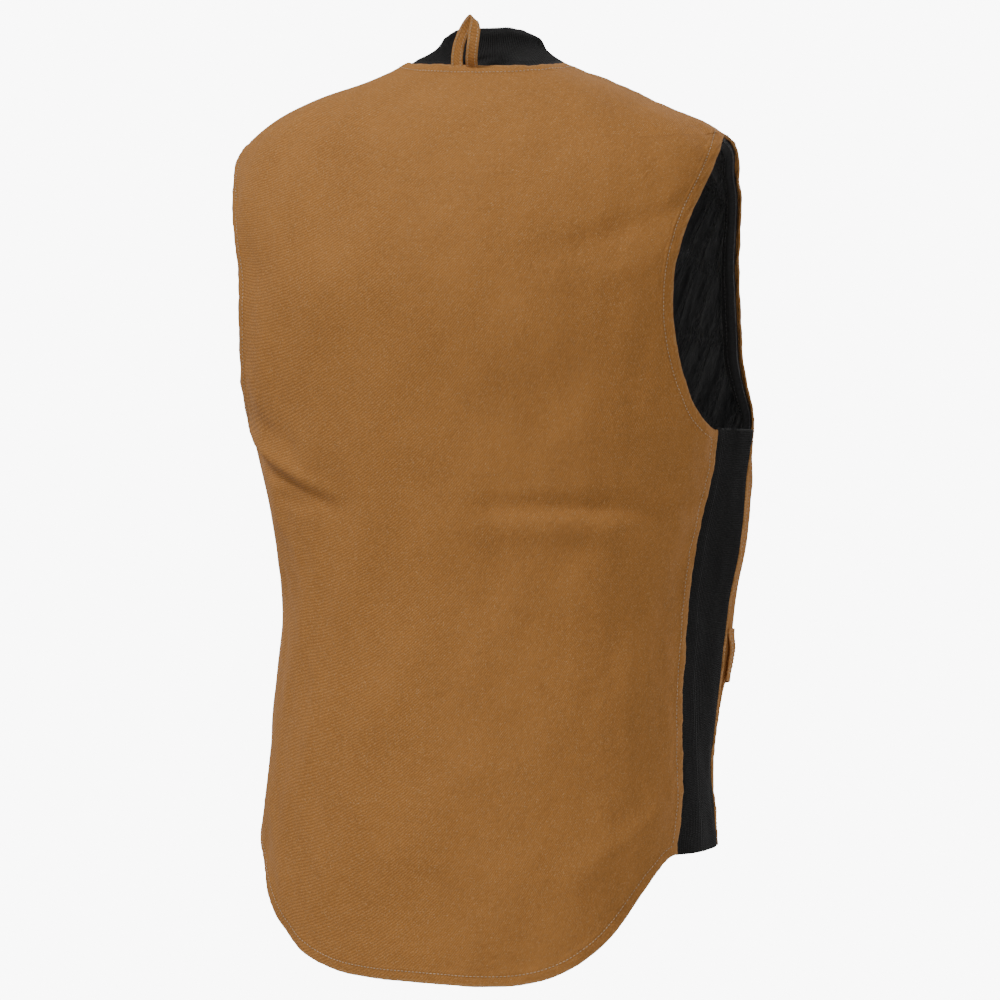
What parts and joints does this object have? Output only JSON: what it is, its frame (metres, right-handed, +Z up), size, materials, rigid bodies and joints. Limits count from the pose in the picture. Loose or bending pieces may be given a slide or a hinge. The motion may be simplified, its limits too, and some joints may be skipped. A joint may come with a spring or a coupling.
{
  "type": "work vest",
  "caption": "Duck-canvas work vest with quilted lining, rib-knit collar and side panels, drop tail, separating front zip, snapped flap pockets and a hanger loop.",
  "frame": {"origin": "midway between the two high shoulder points, where the wearer's shoulders carry the vest", "axes": "+Z up, +X towards the wearer's left, +Y towards the wearer's back"},
  "size_m": [0.4304, 0.283, 0.7783],
  "materials": {
    "duck": "brown cotton duck canvas, firm plain weave, topstitched",
    "rib_knit": "black rib-knit, fine vertical ribs",
    "quilt": "black nylon lining, diamond quilted over wadding",
    "tape": "black woven tape",
    "brass": "aged brass",
    "label": "blank woven label"
  },
  "bodies": {
    "root": {"back_panel": "duck", "back_lining": "quilt", "left_side_rib": "rib_knit", "right_side_rib": "rib_knit", "collar": "rib_knit", "left_back_armhole_binding": "tape", "right_back_armhole_binding": "tape", "back_neck_tape": "tape", "blank_label": "label", "hanger_loop": "duck"},
    "left_front": {"left_front_panel": "duck", "left_front_lining": "quilt", "left_front_facing": "duck", "left_front_armhole_binding": "tape", "left_zip_tape": "tape", "left_zip_teeth": "brass", "left_zip_top_stop": "brass", "zip_retainer_box": "brass", "left_pocket": "duck", "left_pocket_stud": "brass", "chest_pocket": "duck", "chest_pocket_stud": "brass"},
    "right_front": {"right_front_panel": "duck", "right_front_lining": "quilt", "right_front_facing": "duck", "right_front_armhole_binding": "tape", "right_zip_tape": "tape", "right_zip_teeth": "brass", "right_zip_top_stop": "brass", "zip_insertion_pin": "brass", "right_pocket": "duck", "right_pocket_stud": "brass"},
    "slider": {"zip_slider": "brass"},
    "pull_tab": {"zip_pull_tab": "brass"},
    "left_flap": {"left_pocket_flap": "duck", "left_flap_snap": "brass"},
    "right_flap": {"right_pocket_flap": "duck", "right_flap_snap": "brass"},
    "chest_flap": {"chest_pocket_flap": "duck", "chest_flap_snap": "brass"}
  },
  "joints": [
    {"name": "left_front_swing", "type": "hinge", "parent": "root", "child": "left_front", "pos_m": [0.212, 0, -0.062], "axis": [0.0554, 0.0889, 0.9945], "range_deg": [0, 35]},
    {"name": "right_front_swing", "type": "hinge", "parent": "root", "child": "right_front", "pos_m": [-0.212, 0, -0.062], "axis": [0.0554, -0.0889, -0.9945], "range_deg": [0, 35]},
    {"name": "zip_slide", "type": "slide", "parent": "left_front", "child": "slider", "axis": [0, 0.0862, 0.9963], "range_m": [0, 0.49]},
    {"name": "pull_tab_swing", "type": "hinge", "parent": "slider", "child": "pull_tab", "pos_m": [0.004, -0.1524, -0.6132], "axis": [-1, 0, 0], "range_deg": [0, 165]},
    {"name": "left_flap_lift", "type": "hinge", "parent": "left_front", "child": "left_flap", "pos_m": [0.1248, -0.1079, -0.4659], "axis": [-0.848, -0.53, 0], "range_deg": [0, 150]},
    {"name": "right_flap_lift", "type": "hinge", "parent": "right_front", "child": "right_flap", "pos_m": [-0.1248, -0.1079, -0.4659], "axis": [-0.848, 0.53, 0], "range_deg": [0, 150]},
    {"name": "chest_flap_lift", "type": "hinge", "parent": "left_front", "child": "chest_flap", "pos_m": [0.1141, -0.1033, -0.2139], "axis": [-0.9697, -0.2443, 0], "range_deg": [0, 150]}
  ]
}
